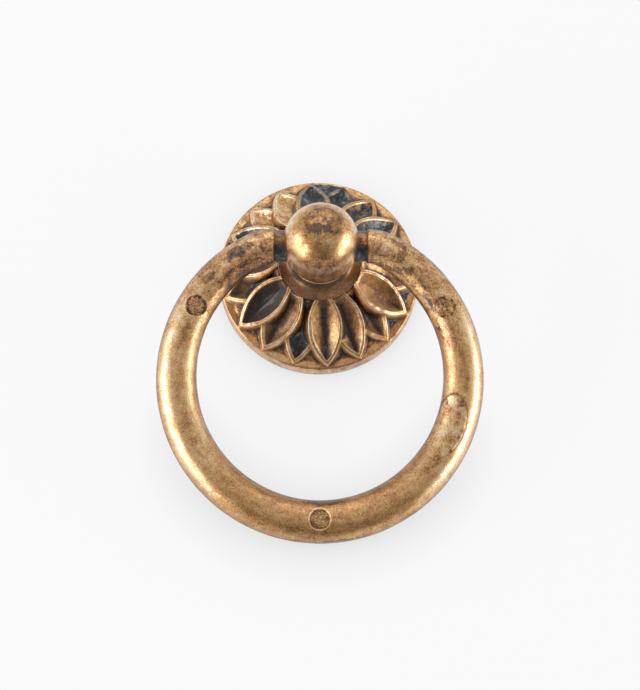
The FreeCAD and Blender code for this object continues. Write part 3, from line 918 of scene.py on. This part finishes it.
def paint_marks(local, tarnish, slate, crevice, wear):
    """A speckled floor, a ragged dark edge and scribbled lines in the three marks."""
    specks = ease(roughness_of(local, MARK_SPECK_SIZE), *MARK_SPECK_RANGE)
    swirl = roughness_of(local, MARK_SWIRL_SIZE)
    ragged = ease(swirl, *MARK_SWIRL_RANGE)
    bottom, left, right = (MARK_RADIUS - gap for gap in mark_offsets(local))
    for inset, dirt in ((bottom, BOTTOM_MARK_TARNISH), (left, LEFT_MARK_TARNISH)):
        tarnish += dirt * ease(inset, *MARK_TARNISH_EDGE)
        wear += MARK_SPECK_WEAR * specks * ease(inset, *MARK_SPECK_EDGE)
    wear += BOTTOM_RIM_WEAR * peak(bottom, *BOTTOM_RIM_BAND)
    crevice += BOTTOM_EDGE_DIRT * peak(bottom, *BOTTOM_EDGE_BAND)
    left_edge = peak(left, *LEFT_EDGE_BAND) * ragged
    crevice += LEFT_EDGE_DIRT * left_edge
    slate += LEFT_EDGE_SLATE * left_edge
    wear += LEFT_RIM_WEAR * peak(left, *LEFT_RIM_BAND)
    right_edge = peak(right, *RIGHT_EDGE_BAND) * ragged
    scribble = np.maximum(right_edge, peak(swirl, *RIGHT_LINE_BAND))
    crevice += RIGHT_LINE_DIRT * scribble * ease(right, *RIGHT_LINE_EDGE)
    tarnish += RIGHT_MARK_TARNISH * ease(right, *MARK_TARNISH_EDGE)


def paint_ring(piece, local, smooth, radius):
    """Stains, the old patch, dirty marks and the journals' painted shade."""
    facing = smooth[..., 0]
    around = smooth[..., 1]
    tarnish = paint_flanks(facing, around)
    stain = np.zeros_like(tarnish)
    slate = np.zeros_like(tarnish)
    for *place, strength, grey in SHARP_STAINS:
        spot = ease(spot_on_ring(smooth, radius, *place), *SHARP_STAIN_EDGE)
        stain = np.maximum(stain, strength * spot)
        slate += grey * spot
    # Soft stains, a few of them painted shade
    for *place, strength, grey in SOFT_STAINS_AND_SHADES:
        spot = ease(spot_on_ring(smooth, radius, *place), *SOFT_STAIN_AND_SHADE_EDGE)
        tarnish += strength * spot
        slate += grey * spot
    span, line, inside = patch_line(smooth, radius)
    blots = roughness_of(local, BLOT_SIZE)
    tarnish += (PATCH_BLOTS * blots - PATCH_RUB) * inside
    patch_stain = peak(span, *PATCH_STAIN_BAND) * ease(blots, *PATCH_STAIN_BLOTS)
    stain = np.maximum(stain, PATCH_STAIN * patch_stain)
    past_patch = facing - PATCH[0]
    inner_edge = ease(past_patch, *PATCH_INNER_ANGLES) * ease(around - PATCH[1], *PATCH_INNER_PLACES)
    crevice = (PATCH_LINE_DIRT + PATCH_INNER_DIRT * inner_edge) * line
    wear = PATCH_LINE_WEAR * line * ease(past_patch, *PATCH_WEAR_ANGLES) * (1 - inner_edge)
    flank = spot_on_ring(smooth, radius, *BROWN_FLANK) + BROWN_FLANK_BLOTS * blots
    tarnish += BROWN_FLANK_TARNISH * ease(flank, *BROWN_FLANK_EDGE)
    on_crease = ease(around - BROWN_FLANK[1], *CREASE_PLACES)
    crevice += CREASE_DIRT * peak(flank, 1.0, CREASE_WIDTH) * on_crease
    paint_marks(local, tarnish, slate, crevice, wear)
    # Painted shade on the journals, darkest and greyest on their lower side
    past_shoulder = np.abs(local[..., 0]) - RING_SHOULDER
    on_journal = (np.abs(facing) > JOURNAL_FACING) * ease(past_shoulder, *JOURNAL_FADE)
    lower_side = ease(local[..., 1], *JOURNAL_LOWER_SIDE)
    crevice = np.maximum(crevice, on_journal * (JOURNAL_SHADE + JOURNAL_LOWER_SHADE * lower_side))
    slate += JOURNAL_LOWER_SHADE_SLATE * on_journal * lower_side
    grime = BAR_GRIME + BAR_ENDS_GRIME * ease(np.abs(facing), *BAR_ENDS_GRIME_START) + PATCH_GRIME * inside
    masks = dict(tarnish=tarnish, stain=stain, grime=grime, slate=slate, crevice=crevice, wear=wear)
    ends = [JOURNAL_END_MASK] * 2
    paint(piece, **{name: np.concatenate([mask.ravel(), ends]) for name, mask in masks.items()})


# Materials
NOISE_RANGE = (0.32, 0.68)


def add_node(tree, kind, inputs=None, **settings):
    """New node with its settings, and its inputs set or linked."""
    made = tree.nodes.new(kind)
    for name, value in settings.items():
        setattr(made, name, value)
    for socket, value in (inputs or {}).items():
        if isinstance(value, bpy.types.NodeSocket):
            tree.links.new(value, made.inputs[socket])
        else:
            made.inputs[socket].default_value = value
    return made


def maths(tree, operation, a, b=0.0, c=0.0, clamp=False):
    """Result of one sum on numbers or sockets."""
    made = add_node(tree, "ShaderNodeMath", {0: a, 1: b, 2: c}, operation=operation, use_clamp=clamp)
    return made.outputs[0]


def noise_of(tree, coords, size, detail, rough=0.5):
    """Noise from 0 to 1 with lumps of that size in millimetres."""
    inputs = {"Vector": coords, "Scale": 1 / size, "Detail": detail, "Roughness": rough}
    return spread(tree, add_node(tree, "ShaderNodeTexNoise", inputs).outputs[0], *NOISE_RANGE)


def spread(tree, value, low, high, start=0.0, end=1.0):
    """Value mapped from low..high to start..end, held at both ends."""
    inputs = {"Value": value, "From Min": low, "From Max": high, "To Min": start, "To Max": end}
    return add_node(tree, "ShaderNodeMapRange", inputs).outputs[0]


def colour_ramp(tree, value, stops):
    """Colour at a value, between stops of a place and a colour each."""
    made = add_node(tree, "ShaderNodeValToRGB", {0: value})
    elements = made.color_ramp.elements
    while len(elements) < len(stops):
        elements.new(0.5)
    for element, (place, colour) in zip(elements, stops):
        element.position = place
        element.color = (*colour, 1)
    return made.outputs[0]


def mask_of(tree, name):
    """A mask that was painted on the piece."""
    return add_node(tree, "ShaderNodeAttribute", attribute_name=name).outputs["Fac"]


def mixed_colour(tree, share, first, second):
    """First colour, or the second where the share is 1."""
    made = add_node(tree, "ShaderNodeMix", {"Factor": share}, data_type="RGBA")
    for socket, colour in (("A", first), ("B", second)):
        if isinstance(colour, bpy.types.NodeSocket):
            tree.links.new(colour, made.inputs[socket])
        else:
            made.inputs[socket].default_value = colour
    return made.outputs["Result"]


# Colours of the brass by its age, from rubbed bright (0) to black (1), and of its slate-grey patina, which
# also tints some painted shade
GOLD_AGES = (
    (0.0, (0.90, 0.79, 0.60)),
    (0.22, (0.76, 0.56, 0.32)),
    (0.42, (0.62, 0.34, 0.125)),
    (0.6, (0.38, 0.19, 0.063)),
    (0.78, (0.15, 0.075, 0.038)),
    (1.0, (0.022, 0.017, 0.015)),
)
COPPER_AGES = (
    (0.0, (0.88, 0.70, 0.52)),
    (0.22, (0.74, 0.46, 0.26)),
    (0.42, (0.58, 0.29, 0.13)),
    (0.6, (0.34, 0.15, 0.07)),
    (0.78, (0.14, 0.06, 0.04)),
    (1.0, (0.022, 0.016, 0.016)),
)
SLATE_AGES = (
    (0.3, (0.018, 0.02, 0.025)),
    (0.7, (0.05, 0.056, 0.062)),
    (1.0, (0.24, 0.24, 0.23)),
)
STAIN_TINT = (0.26, 0.14, 0.11, 1)
# Noises: size of the lumps, detail and roughness
FINE_NOISE = (0.3, 3, 0.7)
MIDDLING_NOISE = (1.6, 6, 0.66)
LARGE_NOISE = (7.0, 2)
PIT_NOISE = (0.55, 2, 0.7)
COPPER_NOISE = (3.2, 4, 0.6)
SLATE_NOISE = (1.3, 4, 0.6)
# How far each mask and noise ages the brass, and darkens it where a mask holds painted shade, and the ranges
# that shape them
SPECKLE = 0.3
PATCHINESS = 0.55
CREVICE_AGE = 0.55
WEAR_AGE = -0.3
PIT_RANGE = (0.82, 0.97)
PIT_AGE = 0.25
RAGGEDNESS = 0.6
STAIN_RANGE = (0.78, 0.88)
STAIN_AGE = 0.12
STAIN_TINT_SHARE = 0.4
OUTLINE_RISE = (0.72, 0.79)
OUTLINE_FALL = (0.81, 0.9)
OUTLINE_AGE = 0.24
COPPER_RANGE = (0.45, 0.85)
COPPER_MOST = 0.85
SLATE_RANGE = (0.6, 0.95)
SLATE_WEAR = 0.6
METAL_AGES = (0.65, 1.0)
OLD_METALLIC = 0.6
DULL_AGES = (0.1, 0.9)
DULLING = 0.2
COAT_WEIGHT = 0.6
COAT_ROUGHNESS = 0.2
DENT_STRENGTH = 0.3
DENT_DISTANCE = 0.03
DENT_MIDDLING = 2.0


def old_brass(name, shine, grain=0.14, cloud=0.12):
    """Mottled old brass: gold where it is rubbed, brown and black where it is stained and recessed, and
    darker and paler where the masks hold painted shade and highlight.
    """
    material = bpy.data.materials.new(name)
    material.use_nodes = True
    tree = material.node_tree
    shader = tree.nodes["Principled BSDF"]

    def grown(age, amount, factor, clamp=False):
        """Age with an amount times a factor added."""
        return maths(tree, "MULTIPLY_ADD", amount, factor, age, clamp)

    place = add_node(tree, "ShaderNodeTexCoord").outputs["Object"]
    scaled = {"Vector": place, "Scale": (1 / MM, 1 / MM, 1 / MM)}
    coords = add_node(tree, "ShaderNodeMapping", scaled).outputs[0]
    fine = noise_of(tree, coords, *FINE_NOISE)
    middling = noise_of(tree, coords, *MIDDLING_NOISE)
    large = noise_of(tree, coords, *LARGE_NOISE)
    grime = mask_of(tree, "grime")
    wear = mask_of(tree, "wear")
    mottle = grown(-(SPECKLE + PATCHINESS) / 2, fine, SPECKLE)
    mottle = grown(mottle, middling, PATCHINESS)
    pits = spread(tree, noise_of(tree, coords, *PIT_NOISE), *PIT_RANGE, 0.0, PIT_AGE)
    field = grown(mask_of(tree, "stain"), middling, RAGGEDNESS)
    stained = spread(tree, field, *STAIN_RANGE)
    outline = maths(tree, "SUBTRACT", spread(tree, field, *OUTLINE_RISE), spread(tree, field, *OUTLINE_FALL))
    # Besides tarnish, dirt and slate, the painted masks hold painted shade and painted highlight
    age = maths(tree, "SUBTRACT", mask_of(tree, "tarnish"), (cloud + grain) / 2)
    age = grown(age, fine, grain)
    age = grown(age, large, cloud)
    age = grown(age, mottle, grime)
    age = grown(age, mask_of(tree, "crevice"), CREVICE_AGE)
    age = grown(age, wear, WEAR_AGE)
    age = grown(age, pits, grime)
    age = grown(age, stained, STAIN_AGE)
    age = grown(age, outline, OUTLINE_AGE, clamp=True)
    gold = colour_ramp(tree, age, GOLD_AGES)
    copper = colour_ramp(tree, age, COPPER_AGES)
    copper_share = spread(tree, noise_of(tree, coords, *COPPER_NOISE), *COPPER_RANGE, 0.0, COPPER_MOST)
    brass = mixed_colour(tree, copper_share, gold, copper)
    brass = mixed_colour(tree, maths(tree, "MULTIPLY", stained, STAIN_TINT_SHARE), brass, STAIN_TINT)
    slate = colour_ramp(tree, grown(noise_of(tree, coords, *SLATE_NOISE), wear, SLATE_WEAR), SLATE_AGES)
    slate_share = spread(tree, grown(mask_of(tree, "slate"), middling, RAGGEDNESS), *SLATE_RANGE)
    tree.links.new(mixed_colour(tree, slate_share, brass, slate), shader.inputs["Base Color"])
    tree.links.new(spread(tree, age, *METAL_AGES, 1.0, OLD_METALLIC), shader.inputs["Metallic"])
    tree.links.new(spread(tree, age, *DULL_AGES, shine, shine + DULLING), shader.inputs["Roughness"])
    shader.inputs["Coat Weight"].default_value = COAT_WEIGHT
    shader.inputs["Coat Roughness"].default_value = COAT_ROUGHNESS
    relief = grown(fine, middling, DENT_MIDDLING)
    bump = {"Height": relief, "Strength": DENT_STRENGTH, "Distance": DENT_DISTANCE * MM}
    dents = add_node(tree, "ShaderNodeBump", bump)
    tree.links.new(dents.outputs[0], shader.inputs["Normal"])
    return material


ROSETTE_SHINE = 0.28
POST_SHINE = 0.25
RING_SHINE = 0.36
RING_GRAIN = 0.26
RING_CLOUD = 0.07


def finish_piece(piece, body, node, material):
    """Gives a piece its material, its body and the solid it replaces."""
    piece.data.materials.clear()
    piece.data.materials.append(material)
    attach(piece, body)
    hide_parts(node)


rosette = make_rosette()
finish_piece(rosette, "base", "rosette", old_brass("rosette_old_brass", ROSETTE_SHINE))
post = make_post()
paint_post(post)
finish_piece(post, "base", "ball_post", old_brass("post_old_brass", POST_SHINE))
ring = make_ring()
ring_brass = old_brass("ring_old_brass", RING_SHINE, RING_GRAIN, RING_CLOUD)
finish_piece(ring, "ring", "ring", ring_brass)


# Stage
FLOOR_DROP = 0.02
FLOOR_SIZE_M = 6.0
FLOOR_WHITE = (0.93, 0.93, 0.935)
FLOOR_ROUGHNESS = 0.9
FLOOR_SPECULAR = 0.1
FLOOR_GLOW = (0.97, 0.97, 0.975)
FLOOR_GLOW_SHARE = 0.88
CONTACT_REACH = 9.0
CONTACT_RANGE = (0.4, 1.0)
CONTACT_SHADE = 0.84


def make_floor():
    """White floor that keeps the object's shadow, with a painted contact shadow near the object, and looks
    white to the camera.
    """
    mesh = bpy.data.meshes.new("floor")
    half = FLOOR_SIZE_M / 2
    level = -FLOOR_DROP * MM
    corners = [(-half, -half, level), (half, -half, level), (half, half, level), (-half, half, level)]
    mesh.from_pydata(corners, [], [(0, 1, 2, 3)])
    floor = bpy.data.objects.new("floor", mesh)
    bpy.context.scene.collection.objects.link(floor)
    material = bpy.data.materials.new("white_paper")
    material.use_nodes = True
    tree = material.node_tree
    shader = tree.nodes["Principled BSDF"]
    shader.inputs["Base Color"].default_value = (*FLOOR_WHITE, 1)
    shader.inputs["Roughness"].default_value = FLOOR_ROUGHNESS
    shader.inputs["Specular IOR Level"].default_value = FLOOR_SPECULAR
    path = add_node(tree, "ShaderNodeLightPath")
    seen = maths(tree, "ADD", path.outputs["Is Camera Ray"], path.outputs["Is Glossy Ray"])
    seen = maths(tree, "ADD", seen, path.outputs["Is Transmission Ray"], clamp=True)
    share = maths(tree, "MULTIPLY", seen, FLOOR_GLOW_SHARE)
    # Painted contact shadow: the floor's glow is darkened near the object by ambient occlusion
    near = add_node(tree, "ShaderNodeAmbientOcclusion", {"Distance": CONTACT_REACH * MM})
    strength = spread(tree, near.outputs["AO"], *CONTACT_RANGE, CONTACT_SHADE, 1.0)
    glow = add_node(tree, "ShaderNodeEmission", {"Color": (*FLOOR_GLOW, 1), "Strength": strength})
    mixed = add_node(tree, "ShaderNodeMixShader", {0: share, 1: shader.outputs[0], 2: glow.outputs[0]})
    tree.links.new(mixed.outputs[0], tree.nodes["Material Output"].inputs["Surface"])
    mesh.materials.append(material)


# Softboxes: place and size in metres, and how bright each is against a white surface
SOFTBOXES = {
    "left": ((-0.72, -0.28, 0.22), (0.9, 0.44), 3.45),
    "right": ((0.79, -0.22, 0.12), (0.8, 0.24), 5.4),
    "top": ((0.0, 0.75, 0.6), (0.9, 0.5), 1.4),
}
LIGHT_TARGET = Vector((0, -0.015, 0.01))


def make_lights():
    """Softboxes turned towards the object."""
    for name, (place, size, brightness) in SOFTBOXES.items():
        light = bpy.data.lights.new(name, "AREA")
        light.shape = "RECTANGLE"
        light.size, light.size_y = size
        light.energy = brightness * math.pi * size[0] * size[1]
        lamp = bpy.data.objects.new(name, light)
        lamp.location = place
        lamp.rotation_mode = "QUATERNION"
        lamp.rotation_quaternion = (Vector(place) - LIGHT_TARGET).to_track_quat("Z", "Y")
        bpy.context.scene.collection.objects.link(lamp)


# Room light from the horizon (0) up to straight overhead (1)
ROOM_LIGHT = (
    (0.0, (0.9, 0.9, 0.9)),
    (0.12, (0.8, 0.8, 0.8)),
    (0.4, (0.55, 0.55, 0.55)),
    (1.0, (0.76, 0.76, 0.76)),
)
FRONT_RANGE = (-0.7, -0.1)
FRONT_DARKNESS = 0.42


def make_world():
    """Even room light, darker at the front."""
    world = bpy.data.worlds.new("studio")
    world.use_nodes = True
    tree = world.node_tree
    direction = add_node(tree, "ShaderNodeTexCoord").outputs["Generated"]
    parts = add_node(tree, "ShaderNodeSeparateXYZ", {0: direction})
    room = colour_ramp(tree, parts.outputs["Z"], ROOM_LIGHT)
    front = spread(tree, parts.outputs["Y"], *FRONT_RANGE, FRONT_DARKNESS, 1.0)
    tree.links.new(room, tree.nodes["Background"].inputs["Color"])
    tree.links.new(front, tree.nodes["Background"].inputs["Strength"])
    bpy.context.scene.world = world


# Camera: looks down at the handle, a little from below and from the left
CAMERA_TARGET = Vector((0.37, -11.57, -3.83)) * MM
CAMERA_DISTANCE = 619 * MM
CAMERA_TILT = math.radians(18.3)
CAMERA_LEAN = math.radians(1.26)
CAMERA_ROLL = math.radians(-0.13)
FOCAL_LENGTH_PIXELS = 3270
PHOTO_HEIGHT_PIXELS = 690
SENSOR = 36


def make_camera():
    """Camera at the photograph's viewing angle."""
    camera = bpy.data.cameras.new("camera")
    camera.sensor_width = SENSOR
    camera.lens = FOCAL_LENGTH_PIXELS * SENSOR / PHOTO_HEIGHT_PIXELS
    viewer = bpy.data.objects.new("camera", camera)
    back = Vector((
        -math.sin(CAMERA_LEAN),
        -math.sin(CAMERA_TILT) * math.cos(CAMERA_LEAN),
        math.cos(CAMERA_TILT) * math.cos(CAMERA_LEAN),
    ))
    viewer.location = CAMERA_TARGET + back * CAMERA_DISTANCE
    viewer.rotation_mode = "QUATERNION"
    right = Vector((0, 1, 0)).cross(back).normalized()
    upright = Matrix((right, back.cross(right), back)).transposed().to_quaternion()
    viewer.rotation_quaternion = upright @ Quaternion((0, 0, 1), CAMERA_ROLL)
    bpy.context.scene.collection.objects.link(viewer)
    bpy.context.scene.camera = viewer


make_floor()
make_lights()
make_world()
make_camera()
bpy.context.scene.view_settings.view_transform = "Standard"
